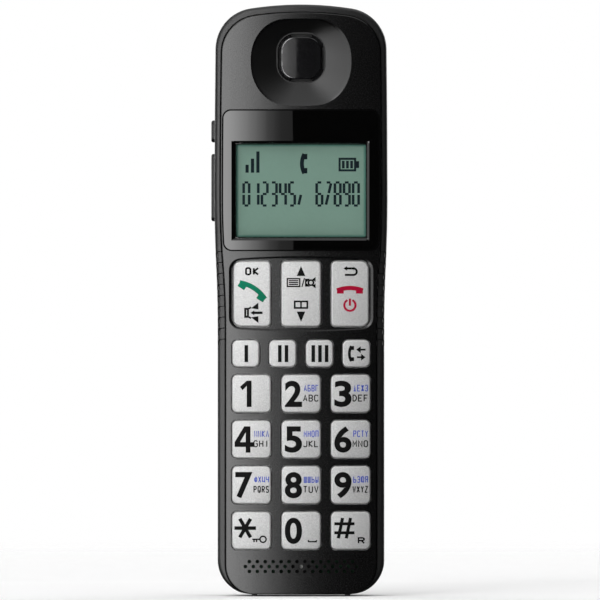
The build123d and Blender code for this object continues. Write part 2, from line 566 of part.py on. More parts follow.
def battery_springs():
    return Compound(children=[coil(-CELL_X, BAY_LOW, True), coil(CELL_X, BAY_HIGH, False)])


def battery_plates():
    """Flat contacts with a pressed bump at the cells' positive ends."""
    plates = []
    for x, z, s in ((-CELL_X, BAY_HIGH, -1), (CELL_X, BAY_LOW, 1)):
        span = sorted((z, z + s * 0.5))
        plate = box((x - 4, x + 4), (CELL_Y - 4, CELL_Y + 4), span)
        plates.append(plate + Pos(x, CELL_Y, z + s * 1.6) * Cylinder(1.8, 2.8))
    return Compound(children=plates)


def case_screws():
    screws = []
    for x, z in SCREWS:
        screw = rod(x, z, HEAD_R, SEAT_Y, SEAT_Y + 1.5) + rod(x, z, SCREW_R, -8.5, SEAT_Y + 0.1)
        for turn in (0, 90):
            slot = Pos(x, SEAT_Y + 1.3, z) * Rot(0, turn, 0) * Box(2.6, 0.8, 0.5)
            screw = screw - slot
        screws.append(screw)
    return Compound(children=screws)


def battery_pad():
    return box((-9, 9), (11.05, DOOR_SEAT + 0.05), (36, 56))


# ---------------------------------------------------------------- write the parts
os.makedirs("parts", exist_ok=True)
for made in (front_case, rear_case, battery_cover, display_lens, lens_tape, lcd_gasket, lcd_glass,
             lcd_backlight, lcd_holder, lcd_ribbon, earpiece_insert, receiver, receiver_gasket,
             loudspeaker, loudspeaker_gasket, microphone, microphone_boot, main_board, rf_shield,
             board_chips, antenna, side_switches, keypad_mat, carbon_pills, side_key, volume_rocker,
             volume_pin, charge_contacts, battery_springs, battery_plates, case_screws, battery_pad):
    save(made.__name__, made())
for key in KEYS:
    save(key["name"], key_solid(key))
save("battery_cell_left", battery_cell(-CELL_X, False))
save("battery_cell_right", battery_cell(CELL_X, True))
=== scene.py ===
import math

import bmesh
import bpy
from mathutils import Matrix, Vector
from mathutils.bvhtree import BVHTree


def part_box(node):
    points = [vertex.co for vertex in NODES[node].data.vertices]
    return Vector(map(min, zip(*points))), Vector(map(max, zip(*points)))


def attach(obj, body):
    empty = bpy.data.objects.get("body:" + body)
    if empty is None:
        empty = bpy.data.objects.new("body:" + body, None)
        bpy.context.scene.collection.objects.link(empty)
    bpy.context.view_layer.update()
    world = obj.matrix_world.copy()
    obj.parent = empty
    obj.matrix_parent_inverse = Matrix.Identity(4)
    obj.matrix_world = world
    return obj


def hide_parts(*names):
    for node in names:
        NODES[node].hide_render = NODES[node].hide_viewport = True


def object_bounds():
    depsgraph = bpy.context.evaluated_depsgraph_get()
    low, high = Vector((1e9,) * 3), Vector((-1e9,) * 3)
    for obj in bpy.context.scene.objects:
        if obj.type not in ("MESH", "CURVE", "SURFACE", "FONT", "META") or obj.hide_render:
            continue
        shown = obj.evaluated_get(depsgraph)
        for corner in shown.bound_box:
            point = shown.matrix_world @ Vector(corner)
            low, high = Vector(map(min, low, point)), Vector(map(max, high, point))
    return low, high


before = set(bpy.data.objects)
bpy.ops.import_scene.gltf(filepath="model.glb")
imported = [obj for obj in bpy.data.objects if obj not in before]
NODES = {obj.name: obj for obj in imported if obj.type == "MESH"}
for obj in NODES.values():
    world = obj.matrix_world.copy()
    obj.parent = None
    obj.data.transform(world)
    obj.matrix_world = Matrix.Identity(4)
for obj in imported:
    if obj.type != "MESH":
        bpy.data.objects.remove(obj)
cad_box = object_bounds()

MM = 0.001
ROOT = "handset"
CROWN, FACE_Y = 140 * MM, -12.5 * MM    # radius of the front face across the handset, and its foremost line
DISH_W, DISH_H, DISH_CORNER, DISH_Z = 27.7 * MM, 24 * MM, 11.2 * MM, 148 * MM
LENS_THICK, LENS_BORDER, TAPE_GAP = 1.1 * MM, 0.32 * MM, 0.03 * MM
WINDOW_W, WINDOW_H, WINDOW_Z = 36.6 * MM, 26.4 * MM, 112.4 * MM
WINDOW_SUNK = 0.25 * MM    # the lens is thinned over the display, with slanted walls
BEVEL_LEFT, BEVEL = 1.0 * MM, 0.6 * MM


# ---------------------------------------------------------------- materials
def material(name):
    """A new material with its node tree, its Principled shader and object coordinates."""
    mat = bpy.data.materials.new(name)
    mat.use_nodes = True
    tree = mat.node_tree
    shader = tree.nodes["Principled BSDF"]
    where = tree.nodes.new("ShaderNodeTexCoord").outputs["Object"]
    return mat, tree, shader, where


def noise(tree, where, size, detail=3.0, rough=0.6):
    """Noise whose features are about size metres across."""
    node = tree.nodes.new("ShaderNodeTexNoise")
    node.inputs["Scale"].default_value = 1 / size
    node.inputs["Detail"].default_value = detail
    node.inputs["Roughness"].default_value = rough
    tree.links.new(where, node.inputs["Vector"])
    return node.outputs["Fac"]


def cells(tree, where, size, output="Color"):
    """Random cells about size metres across."""
    node = tree.nodes.new("ShaderNodeTexVoronoi")
    node.inputs["Scale"].default_value = 1 / size
    tree.links.new(where, node.inputs["Vector"])
    return node.outputs[output]


def ramp(tree, value, low, high, start=0.3, end=0.7):
    """A value spread between two numbers."""
    node = tree.nodes.new("ShaderNodeMapRange")
    node.inputs["From Min"].default_value = start
    node.inputs["From Max"].default_value = end
    node.inputs["To Min"].default_value = low
    node.inputs["To Max"].default_value = high
    tree.links.new(value, node.inputs["Value"])
    return node.outputs["Result"]


def tint(tree, value, low, high):
    """A value turned into a colour between two colours."""
    node = tree.nodes.new("ShaderNodeMix")
    node.data_type = "RGBA"
    node.inputs["A"].default_value = (*low, 1)
    node.inputs["B"].default_value = (*high, 1)
    tree.links.new(value, node.inputs["Factor"])
    return node.outputs["Result"]


def bump(tree, height, depth, strength=1.0, before=None):
    node = tree.nodes.new("ShaderNodeBump")
    node.inputs["Strength"].default_value = strength
    node.inputs["Distance"].default_value = depth
    tree.links.new(height, node.inputs["Height"])
    if before:
        tree.links.new(before, node.inputs["Normal"])
    return node.outputs["Normal"]


def moulded(name, color, rough, grain=0.25 * MM, depth=0.004 * MM, vary=0.25, ior=1.5):
    """Moulded or printed surface: fine grain, slight clouding of the colour, uneven gloss."""
    mat, tree, shader, where = material(name)
    cloud = noise(tree, where, 14 * MM, 2.0)
    fine = noise(tree, where, grain, 2.0)
    low = [c * (1 - vary) for c in color]
    high = [min(c * (1 + vary), 1) for c in color]
    tree.links.new(tint(tree, ramp(tree, cloud, 0, 1), low, high), shader.inputs["Base Color"])
    tree.links.new(ramp(tree, fine, rough - 0.04, rough + 0.05), shader.inputs["Roughness"])
    tree.links.new(bump(tree, fine, depth), shader.inputs["Normal"])
    shader.inputs["IOR"].default_value = ior
    return mat


def silver_paint(name):
    """Silver paint with flakes: every flake has its own shade and its own slight lean."""
    mat, tree, shader, where = material(name)
    flake = cells(tree, where, 0.16 * MM)
    split = tree.nodes.new("ShaderNodeSeparateColor")
    tree.links.new(flake, split.inputs["Color"])
    tree.links.new(tint(tree, split.outputs[0], (0.52, 0.52, 0.522), (0.68, 0.68, 0.675)),
                   shader.inputs["Base Color"])
    tree.links.new(ramp(tree, split.outputs[1], 0.56, 0.70, 0, 1), shader.inputs["Roughness"])
    tree.links.new(bump(tree, split.outputs[2], 0.003 * MM, 0.6), shader.inputs["Normal"])
    shader.inputs["Metallic"].default_value = 0.78
    return mat


def calc(tree, operation, first, second=None):
    """A Math node on one or two values, each a socket or a number."""
    node = tree.nodes.new("ShaderNodeMath")
    node.operation = operation
    for i, value in enumerate((first, second)):
        if isinstance(value, (int, float)):
            node.inputs[i].default_value = value
        elif value is not None:
            tree.links.new(value, node.inputs[i])
    return node.outputs["Value"]


def distance_out(tree, where, width, height, corner, z):
    """Distance outwards from an upright rounded rectangle about x = 0, seen from the front; negative inside."""
    split = tree.nodes.new("ShaderNodeSeparateXYZ")
    tree.links.new(where, split.inputs["Vector"])
    across = calc(tree, "SUBTRACT", calc(tree, "ABSOLUTE", split.outputs["X"]), width / 2 - corner)
    rise = calc(tree, "ABSOLUTE", calc(tree, "SUBTRACT", split.outputs["Z"], z))
    up = calc(tree, "SUBTRACT", rise, height / 2 - corner)
    squares = [calc(tree, "POWER", calc(tree, "MAXIMUM", value, 0.0), 2.0) for value in (across, up)]
    past_corner = calc(tree, "SQRT", calc(tree, "ADD", *squares))
    past_side = calc(tree, "MINIMUM", calc(tree, "MAXIMUM", across, up), 0.0)
    return calc(tree, "SUBTRACT", calc(tree, "ADD", past_corner, past_side), corner)


def cover_plastic(name):
    """Satin black for the front cover, more matt in the dish round the earpiece."""
    mat = moulded(name, (0.0012, 0.0012, 0.0013), 0.25, 0.2 * MM, 0.0012 * MM)
    tree = mat.node_tree
    shader = tree.nodes["Principled BSDF"]
    where = tree.nodes["Texture Coordinate"].outputs["Object"]
    plain = shader.inputs["Roughness"].links[0].from_socket
    depth = distance_out(tree, where, DISH_W, DISH_H, DISH_CORNER, DISH_Z)
    matt = ramp(tree, depth, 0.12, 0.0, -0.6 * MM, 0.0)
    tree.links.new(calc(tree, "ADD", plain, matt), shader.inputs["Roughness"])
    return mat


def lens_frame(name):
    """Clear acrylic over black print, as it looks from the front: black, with a mirror-smooth surface."""
    mat, tree, shader, where = material(name)
    cloud = ramp(tree, noise(tree, where, 6 * MM), 0, 1)
    tree.links.new(tint(tree, cloud, (0.0004, 0.0004, 0.0004), (0.0006, 0.0006, 0.0006)),
                   shader.inputs["Base Color"])
    tree.links.new(ramp(tree, cloud, 0.012, 0.02, 0, 1), shader.inputs["Roughness"])
    return mat


def clear_lens(name):
    """The lens over the display, with an anti-glare coat: clear head-on, and it mirrors at a slant."""
    mat, tree, shader, where = material(name)
    tree.nodes.remove(shader)
    through = tree.nodes.new("ShaderNodeBsdfTransparent")
    mirror = tree.nodes.new("ShaderNodeBsdfGlossy")
    tree.links.new(ramp(tree, noise(tree, where, 6 * MM), 0.05, 0.07), mirror.inputs["Roughness"])
    slant = tree.nodes.new("ShaderNodeLayerWeight")
    mix = tree.nodes.new("ShaderNodeMixShader")
    tree.links.new(calc(tree, "POWER", slant.outputs["Facing"], 5.0), mix.inputs["Fac"])
    tree.links.new(through.outputs["BSDF"], mix.inputs[1])
    tree.links.new(mirror.outputs["BSDF"], mix.inputs[2])
    tree.links.new(mix.outputs["Shader"], tree.nodes["Material Output"].inputs["Surface"])
    return mat


def lens_back(name):
    """Back of the lens: clear, with faint clouding."""
    mat, tree, shader, where = material(name)
    tree.nodes.remove(shader)
    through = tree.nodes.new("ShaderNodeBsdfTransparent")
    cloud = ramp(tree, noise(tree, where, 6 * MM), 0, 1)
    tree.links.new(tint(tree, cloud, (0.985, 0.985, 0.985), (1, 1, 1)), through.inputs["Color"])
    tree.links.new(through.outputs["BSDF"], tree.nodes["Material Output"].inputs["Surface"])
    return mat


def display_film(name):
    """Grey-green reflective film with a faint pixel grain; painted shade darkens it along its edges in place of the
    window walls' shadow.
    """
    mat, tree, shader, where = material(name)
    fine = noise(tree, where, 0.25 * MM, 2.0)
    plain = tint(tree, ramp(tree, fine, 0, 1), (0.134, 0.222, 0.18), (0.146, 0.242, 0.196))
    # Painted shade: the film is dark within 0.6 mm of the window's edge, fading back to its own colour 1.1 mm in,
    # standing in for the shadow of the window walls.
    edge_shade_distance = distance_out(tree, where, WINDOW_W, WINDOW_H, 0.5 * MM, WINDOW_Z)
    edge = tree.nodes.new("ShaderNodeMix")
    edge.data_type = "RGBA"
    edge.inputs["B"].default_value = (0.05, 0.15, 0.115, 1)
    tree.links.new(plain, edge.inputs["A"])
    tree.links.new(ramp(tree, edge_shade_distance, 0.0, 1.0, -1.1 * MM, -0.6 * MM), edge.inputs["Factor"])
    tree.links.new(edge.outputs["Result"], shader.inputs["Base Color"])
    tree.links.new(ramp(tree, fine, 0.28, 0.32), shader.inputs["Roughness"])
    shader.inputs["Specular IOR Level"].default_value = 0.25
    tree.links.new(bump(tree, fine, 0.001 * MM), shader.inputs["Normal"])
    return mat


def brushed(name, color, rough, along=(1, 1, 0.05)):
    """Metal with fine drawn lines along one direction."""
    mat, tree, shader, where = material(name)
    stretch = tree.nodes.new("ShaderNodeVectorMath")
    stretch.operation = "MULTIPLY"
    stretch.inputs[1].default_value = along
    tree.links.new(where, stretch.inputs[0])
    lines = noise(tree, stretch.outputs["Vector"], 0.08 * MM, 2.0)
    tree.links.new(tint(tree, ramp(tree, lines, 0, 1), [c * 0.8 for c in color], color),
                   shader.inputs["Base Color"])
    tree.links.new(ramp(tree, lines, rough, rough + 0.12), shader.inputs["Roughness"])
    tree.links.new(bump(tree, lines, 0.002 * MM), shader.inputs["Normal"])
    shader.inputs["Metallic"].default_value = 1.0
    return mat


def cell_sleeve(name, low, high):
    """Battery sleeve: a plain coloured body with a silver band, on a steel can."""
    mat, tree, shader, where = material(name)
    split = tree.nodes.new("ShaderNodeSeparateXYZ")
    tree.links.new(where, split.inputs["Vector"])
    band = ramp(tree, split.outputs["Z"], 0, 1, low, low + 0.1 * MM)
    fine = noise(tree, where, 0.3 * MM, 2.0)
    tree.links.new(tint(tree, band, (0.03, 0.12, 0.2), (0.62, 0.63, 0.64)), shader.inputs["Base Color"])
    tree.links.new(ramp(tree, fine, 0.22, 0.34), shader.inputs["Roughness"])
    tree.links.new(bump(tree, fine, 0.002 * MM), shader.inputs["Normal"])
    shader.inputs["Metallic"].default_value = 0.4
    return mat


def dress(mat, *names):
    for name in names:
        node = NODES[name]
        if not node.data.materials:
            node.data.materials.append(mat)
        for i in range(len(node.material_slots)):
            node.material_slots[i].material = mat


KEY_NAMES = [n for n in NODES if n.startswith("key_")]
dress(cover_plastic("satin_black"), "front_case")
dress(moulded("grained_black", (0.004, 0.004, 0.0042), 0.4, 0.3 * MM, 0.008 * MM), "rear_case", "battery_cover")
dress(moulded("side_key_black", (0.005, 0.005, 0.0053), 0.38, 0.3 * MM, 0.004 * MM), "side_key", "volume_rocker")
dress(silver_paint("key_silver"), *KEY_NAMES)
dress(clear_lens("lens_clear"), "display_lens")
dress(moulded("mask_black", (0.0006, 0.0006, 0.0006), 0.5, 0.4 * MM, 0.001 * MM, ior=1.05), "lens_tape")
dress(display_film("lcd_film_edge_shade"), "lcd_glass")
dress(moulded("insert_gloss", (0.004, 0.004, 0.0045), 0.06, 2 * MM, 0.001 * MM, ior=2.0), "earpiece_insert")
dress(moulded("foam_black", (0.02, 0.02, 0.02), 0.85, 0.5 * MM, 0.08 * MM),
      "lcd_gasket", "receiver_gasket", "loudspeaker_gasket", "microphone_boot", "battery_pad")
dress(moulded("white_plastic", (0.75, 0.75, 0.73), 0.45), "lcd_backlight", "lcd_holder")
dress(moulded("polyimide", (0.5, 0.22, 0.03), 0.3, 0.6 * MM), "lcd_ribbon")
dress(moulded("speaker_black", (0.02, 0.02, 0.02), 0.6, 0.5 * MM, 0.03 * MM), "receiver", "loudspeaker")
dress(moulded("solder_mask", (0.02, 0.16, 0.06), 0.3, 0.8 * MM, 0.01 * MM, vary=0.4), "main_board")
dress(moulded("chip_black", (0.02, 0.02, 0.02), 0.55, 0.2 * MM, 0.01 * MM), "board_chips")
dress(moulded("silicone_grey", (0.35, 0.35, 0.36), 0.5, 0.4 * MM), "keypad_mat")
dress(moulded("carbon_black", (0.01, 0.01, 0.01), 0.6, 0.2 * MM, 0.01 * MM), "carbon_pills")
dress(brushed("nickel", (0.75, 0.72, 0.66), 0.24),
      "charge_contacts", "battery_springs", "battery_plates", "case_screws", "volume_pin", "antenna")
dress(brushed("tin_plate", (0.7, 0.7, 0.68), 0.3), "rf_shield", "side_switches", "microphone")
for cell in ("battery_cell_left", "battery_cell_right"):
    low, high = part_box(cell)
    dress(cell_sleeve(cell + "_sleeve", high.z - 9 * MM, high.z), cell)

INK_COLORS = {
    "black": (0.002, 0.002, 0.002),
    "green": (0.002, 0.15, 0.08),
    "red": (0.28, 0.0, 0.02),
    "blue": (0.05, 0.08, 0.42),
    "lcd": (0.004, 0.010, 0.014),
}
INK = {name: moulded("ink_" + name, color, 0.6, 0.2 * MM, 0.001 * MM, ior=1.2)
       for name, color in INK_COLORS.items()}


# ---------------------------------------------------------------- flat shapes, in mm, as (x, z) points
def arc(x, z, radius, start, end, steps=24):
    turns = [math.radians(start + (end - start) * i / steps) for i in range(steps + 1)]
    return [(x + radius * math.cos(t), z + radius * math.sin(t)) for t in turns]


def ribbon(points, width, closed=False):
    """A line of constant width as a row of four-sided faces that share their corners."""
    count = len(points)
    sides = []
    for i, (x, z) in enumerate(points):
        ahead = points[(i + 1) % count] if closed or i + 1 < count else None
        behind = points[i - 1] if closed or i else None
        dirs = [Vector(b) - Vector(a) for a, b in ((behind, (x, z)), ((x, z), ahead)) if a and b]
        dirs = [d.normalized() for d in dirs]
        lead = sum(dirs, Vector((0, 0))).normalized()
        reach = width / 2 / max(lead.dot(dirs[0]), 0.5)
        out = Vector((-lead.y, lead.x)) * reach
        sides.append(((x + out.x, z + out.y), (x - out.x, z - out.y)))
    rows = range(count if closed else count - 1)
    return [[sides[i][0], sides[i][1], sides[(i + 1) % count][1], sides[(i + 1) % count][0]] for i in rows]


def bar(x_from, x_to, z_from, z_to):
    return [[(x_from, z_from), (x_to, z_from), (x_to, z_to), (x_from, z_to)]]


def shifted(faces, x, z, turn=0.0, scale=1.0):
    c, s = math.cos(math.radians(turn)) * scale, math.sin(math.radians(turn)) * scale
    return [[(x + px * c - pz * s, z + px * s + pz * c) for px, pz in face] for face in faces]


def handset(length, thick, pad, drop):
    """A telephone handset lying with its ends down, centred on the origin."""
    half = length / 2
    sag = drop * 0.45
    radius = (half * half + sag * sag) / (2 * sag)
    lift = math.degrees(math.asin(half / radius))
    faces = ribbon(arc(0, -radius, radius, 90 + lift, 90 - lift, 14), thick)
    for s in (-1, 1):
        x = s * (half - pad / 2)
        faces += [[(x - pad / 2, -drop), (x + pad / 2, -drop), (x + pad / 2, -sag * 0.7), (x - pad / 2, -sag * 0.7)]]
    return shifted(faces, 0, drop / 2)


def lettering(text, x_from, x_to, z_from, z_to, bold=0.0):
    """Text from the built-in font, stretched to fill a box."""
    curve = bpy.data.curves.new("text", "FONT")
    curve.body = text
    curve.offset = bold
    curve.resolution_u = 6
    thing = bpy.data.objects.new("text", curve)
    bpy.context.scene.collection.objects.link(thing)
    mesh = bpy.data.meshes.new_from_object(thing.evaluated_get(bpy.context.evaluated_depsgraph_get()))
    xs = [v.co.x for v in mesh.vertices]
    zs = [v.co.y for v in mesh.vertices]
    wide, tall = max(xs) - min(xs), max(zs) - min(zs)

    def place(co):
        return (x_from + (co.x - min(xs)) / wide * (x_to - x_from), z_from + (co.y - min(zs)) / tall * (z_to - z_from))

    faces = [[place(mesh.vertices[i].co) for i in p.vertices] for p in mesh.polygons]
    bpy.data.objects.remove(thing)
    bpy.data.curves.remove(curve)
    bpy.data.meshes.remove(mesh)
    return faces


# Dial letters as pen strokes, split by semicolons; each point is a column from 0 to 4 and a row from 0 to 6.
PEN = {
    "A": "00 26 40;12 32", "B": "00 06 36 45 44 33 03;33 42 41 30 00", "C": "45 36 16 05 01 10 30 41",
    "D": "00 06 26 44 42 20 00", "E": "46 06 00 40;03 33", "F": "00 06 46;03 33",
    "G": "45 36 16 05 01 10 30 41 43 23", "H": "00 06;40 46;03 43", "I": "20 26", "J": "46 41 30 10 01",
    "K": "00 06;46 03 40", "L": "06 00 40", "M": "00 06 22 46 40", "N": "00 06 40 46",
    "O": "10 01 05 16 36 45 41 30 10", "P": "00 06 36 45 44 33 03", "Q": "10 01 05 16 36 45 41 30 10;22 40",
    "R": "00 06 36 45 44 33 03;23 40", "S": "45 36 16 05 04 13 33 42 41 30 10 01", "T": "06 46;26 20",
    "U": "06 01 10 30 41 46", "V": "06 20 46", "W": "06 10 24 30 46", "X": "00 46;06 40", "Y": "06 23 46;23 20",
    "Z": "06 46 00 40", "Б": "46 06 00 30 41 42 33 03", "Г": "00 06 46", "Д": "00 40;10 26 30",
    "Ж": "20 26;00 46;06 40", "З": "05 16 36 45 44 33 13;33 42 41 30 10 01", "И": "06 00 46 40",
    "Л": "00 26 40", "П": "00 06 46 40", "Ф": "20 26;14 04 02 11 31 42 44 35 14", "Ц": "06 01 41 46;41 40",
    "Ч": "06 03 43;46 40", "Ш": "06 00 40 46;20 26", "Ы": "06 00 20 22 02;46 40", "Ь": "06 00 30 41 42 33 03",
    "Э": "05 16 36 45 41 30 10 01;13 43", "Ю": "00 06;03 13;21 11 15 26 36 45 41 30 21",
    "Я": "40 46 16 05 04 13 43;13 00",
}


def penned(text, x_from, x_to, z_from, z_to, width):
    """Letters drawn with a pen of one width, spread over a box."""
    pitch = (x_to - x_from) / (len(text) - 0.2)
    across, up = 0.8 * pitch - width, z_to - z_from - width
    faces = []
    for i, letter in enumerate(text):
        left = x_from + pitch * i + width / 2
        for stroke in PEN[letter].split(";"):
            points = [(left + int(p[0]) * across / 4, z_from + width / 2 + int(p[1]) * up / 6)
                      for p in stroke.split()]
            faces += ribbon(points, width)
    return faces


# ---------------------------------------------------------------- printing on a surface
TREES = {}


def surface_of(name):
    if name not in TREES:
        mesh = NODES[name].data
        TREES[name] = BVHTree.FromPolygons([v.co for v in mesh.vertices], [p.vertices for p in mesh.polygons])
    return TREES[name]


def printed(name, faces, on, body, ink, centre, lift=0.02, fineness=0.7):
    """Thin print laid on a CAD node's front surface; faces are in mm about centre, seen from the front."""
    form = bmesh.new()
    for face in faces:
        form.faces.new([form.verts.new((centre[0] + x * MM, 0, centre[1] + z * MM)) for x, z in face])
    bmesh.ops.remove_doubles(form, verts=form.verts, dist=1e-6)
    low = [min(v.co[i] for v in form.verts) for i in range(3)]
    high = [max(v.co[i] for v in form.verts) for i in range(3)]
    for axis, normal in ((0, (1, 0, 0)), (2, (0, 0, 1))):
        for i in range(1, int((high[axis] - low[axis]) / (fineness * MM)) + 1):
            at = [0, 0, 0]
            at[axis] = low[axis] + i * fineness * MM
            everything = form.verts[:] + form.edges[:] + form.faces[:]
            bmesh.ops.bisect_plane(form, geom=everything, plane_co=at, plane_no=normal, dist=1e-7)
    tree = surface_of(on)
    for v in form.verts:
        hit = tree.ray_cast(Vector((v.co.x, -0.1, v.co.z)), Vector((0, 1, 0)))[0]
        if hit is None:
            hit = tree.find_nearest(Vector((v.co.x, centre[2] if len(centre) > 2 else -0.0125, v.co.z)))[0]
        v.co.y = hit.y - lift * MM
    for face in form.faces:
        face.normal_update()
        if face.normal.y > 0:
            face.normal_flip()
    mesh = bpy.data.meshes.new(name)
    form.to_mesh(mesh)
    form.free()
    thing = bpy.data.objects.new(name, mesh)
    bpy.context.scene.collection.objects.link(thing)
    mesh.materials.append(INK[ink])
    solid = thing.modifiers.new("thickness", "SOLIDIFY")
    solid.thickness = (lift + 0.01) * MM
    solid.offset = -1
    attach(thing, body)
    return thing


def middle(name):
    """Middle of a node, seen from the front."""
    low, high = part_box(name)
    return ((low.x + high.x) / 2, (low.z + high.z) / 2)


def on_key(key, faces, ink="black", tag="legend"):
    printed(key + "_" + tag, faces, key, key, ink, middle(key))


# ---------------------------------------------------------------- display lens
def cut_lines(form, low, high, size, extra=((), (), ())):
    """Divides a mesh on upright and level planes about size apart, and on any extra ones."""
    for axis, normal in ((0, (1, 0, 0)), (2, (0, 0, 1))):
        count = int((high[axis] - low[axis]) / size)
        places = [low[axis] + (high[axis] - low[axis]) * i / count for i in range(1, count)]
        for place in places + list(extra[axis]):
            at = [0, 0, 0]
            at[axis] = place
            everything = form.verts[:] + form.edges[:] + form.faces[:]
            bmesh.ops.bisect_plane(form, geom=everything, plane_co=at, plane_no=normal, dist=1e-7)


def fine_lens():
    """The lens with the CAD node's outline, divided finely so that its crown mirrors without steps.

    It has a dark border, a black frame round the window, and slanted walls down to the window."""
    form = bmesh.new()
    form.from_mesh(NODES["display_lens"].data)
    bmesh.ops.remove_doubles(form, verts=form.verts, dist=0.001 * MM)
    for face in form.faces:
        face.material_index = 2 if face.normal.y > 0.9 else 1
    front = [face for face in form.faces if face.normal.y < -0.9]
    bmesh.ops.inset_region(form, faces=front, thickness=LENS_BORDER, use_even_offset=True)
    for face in front:
        face.material_index = 0
    low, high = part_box("display_lens")
    half_w, half_h = WINDOW_W / 2, WINDOW_H / 2
    across = (-half_w - BEVEL_LEFT, -half_w, half_w, half_w + BEVEL)
    up = [WINDOW_Z + s * reach for s in (-1, 1) for reach in (half_h, half_h + BEVEL)]
    cut_lines(form, low, high, 0.8 * MM, (across, (), up))
    for face in form.faces:
        at = face.calc_center_median()
        if face.material_index == 0 and (abs(at.x) > half_w or abs(at.z - WINDOW_Z) > half_h):
            face.material_index = 3
    for v in form.verts:
        reach = math.hypot(v.co.x, FACE_Y + CROWN - v.co.y)
        if abs(reach - CROWN) < 0.05 * MM:
            past_side = (abs(v.co.x) - half_w) / (BEVEL_LEFT if v.co.x < 0 else BEVEL)
            past_end = (abs(v.co.z - WINDOW_Z) - half_h) / BEVEL
            sunk = WINDOW_SUNK * min(max(1 - max(past_side, past_end), 0), 1)
            v.co.y = FACE_Y + CROWN - math.sqrt(CROWN ** 2 - v.co.x ** 2) + sunk
        elif abs(reach - CROWN + LENS_THICK) < 0.05 * MM:
            back = CROWN - LENS_THICK + TAPE_GAP
            v.co.y = FACE_Y + CROWN - math.sqrt(back ** 2 - v.co.x ** 2)
    form.normal_update()
    for face in form.faces:
        face.smooth = abs(face.normal.y) > 0.8
    for edge in form.edges:
        edge.smooth = edge.calc_face_angle(math.pi) < math.radians(4)
    mesh = bpy.data.meshes.new("lens_fine")
    form.to_mesh(mesh)
    form.free()
    lens = bpy.data.objects.new("lens_fine", mesh)
    bpy.context.scene.collection.objects.link(lens)
    mesh.materials.append(NODES["display_lens"].material_slots[0].material)
    mesh.materials.append(moulded("lens_border", (0.001, 0.001, 0.001), 0.6, 0.2 * MM, 0.001 * MM, ior=1.1))
    mesh.materials.append(lens_back("lens_back"))
    mesh.materials.append(lens_frame("lens_frame"))
    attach(lens, ROOT)
    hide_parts("display_lens")


fine_lens()


# ---------------------------------------------------------------- recess of the function keys
RECESS_Z = sum(middle("key_" + name)[1] for name in ("talk", "navigator", "end")) / 3
CORNER_X, CORNER_Z, CORNER_R = 16.9 * MM, 6.5 * MM, 4.9 * MM    # corners of the recess, before its walls close in
STEEP, AHEAD = math.tan(math.radians(30)), 1.7 * MM             # how its walls close in, and from how far in front
WALL_SIDE, WALL_END, WALL_FALL, RECESS_DEPTH = 0.72, 0.35, 0.4, 0.75 * MM


def crown_drop(x):
    """How far the front face lies behind its foremost line at one place across."""
    return CROWN - math.sqrt(CROWN ** 2 - x ** 2)


def recess_wall():
    """Slanted wall round the recess, from the cover's face down towards the keys."""
    route = []
    corners = [(CORNER_X, CORNER_Z), (-CORNER_X, CORNER_Z), (-CORNER_X, -CORNER_Z), (CORNER_X, -CORNER_Z)]
    steps = 12
    for i, (x, z) in enumerate(corners):
        next_x, next_z = corners[(i + 1) % 4]
        route += [(x, z, 90 * (i + j / steps)) for j in range(steps + 1)]
        route += [(x + (next_x - x) * j / steps, z + (next_z - z) * j / steps, 90 * (i + 1))
                  for j in range(1, steps)]
    form = bmesh.new()
    rows = []
    for middle_x, middle_z, turn in route:
        cos, sin = math.cos(math.radians(turn)), math.sin(math.radians(turn))
        width = (WALL_END + (WALL_SIDE - WALL_END) * abs(cos)) * MM
        row = []
        for grow, depth in ((0.02 * MM, -0.02 * MM), (-width, width * WALL_FALL), (-width, RECESS_DEPTH),
                            (0.02 * MM, RECESS_DEPTH)):
            x = middle_x
            for _ in range(4):
                reach = CORNER_R - STEEP * (AHEAD + crown_drop(x)) + grow
                x = middle_x + reach * cos
            row.append(form.verts.new((x, FACE_Y + crown_drop(x) + depth, RECESS_Z + middle_z + reach * sin)))
        rows.append(row)
    for row, following in zip(rows, rows[1:] + rows[:1]):
        for i in range(4):
            form.faces.new((row[i], row[(i + 1) % 4], following[(i + 1) % 4], following[i]))
    bmesh.ops.recalc_face_normals(form, faces=form.faces)
    for face in form.faces:
        face.smooth = True
    for edge in form.edges:
        edge.smooth = edge.calc_face_angle(0) < math.radians(15)
    mesh = bpy.data.meshes.new("recess_wall")
    form.to_mesh(mesh)
    form.free()
    mesh.materials.append(NODES["front_case"].material_slots[0].material)
    wall = bpy.data.objects.new("recess_wall", mesh)
    bpy.context.scene.collection.objects.link(wall)
    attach(wall, ROOT)


recess_wall()


# ---------------------------------------------------------------- legends
DIGIT_LEFT, DIGIT_WIDTH, DIGIT_LOW, DIGIT_HIGH, DIGIT_STROKE = -4.5, 4.8, -3.7, 3.6, 1.33
LETTERS = {"2": "ABC", "3": "DEF", "4": "GHI", "5": "JKL", "6": "MNO", "7": "PQRS", "8": "TUV", "9": "WXYZ"}
SECOND = {"2": "AБBГ", "3": "ДEЖЗ", "4": "ИИKЛ", "5": "MHOП", "6": "PCTY", "7": "ФXЦЧ", "8": "ШШЬЫ", "9": "ЬЭЮЯ"}


def digit_one():
    """A stem with a flag on its left."""
    half = DIGIT_STROKE / 2
    stem = bar(-0.65 - half, -0.65 + half, DIGIT_LOW, DIGIT_HIGH)
    return stem + [[(-0.65 - half, 3.6), (-3.2, 1.9), (-2.5, 0.95), (-0.65 - half, 2.15)]]


def digit_four():
    """A stem, a bar and a slanting stroke."""
    stem_x, bar_z, half = -0.95, -1.45, DIGIT_STROKE / 2
    left, right = DIGIT_LEFT - 0.2, 0.7
    faces = bar(stem_x - half, stem_x + half, DIGIT_LOW, bar_z - half)
    faces += bar(stem_x - half, stem_x + half, bar_z + half, DIGIT_HIGH)
    faces += bar(left, right, bar_z - half, bar_z + half)
    return faces + [[(left, bar_z + half), (stem_x - half - 0.4, DIGIT_HIGH), (stem_x - half, DIGIT_HIGH),
                     (stem_x - half, 1.9), (-3.15, bar_z + half)]]


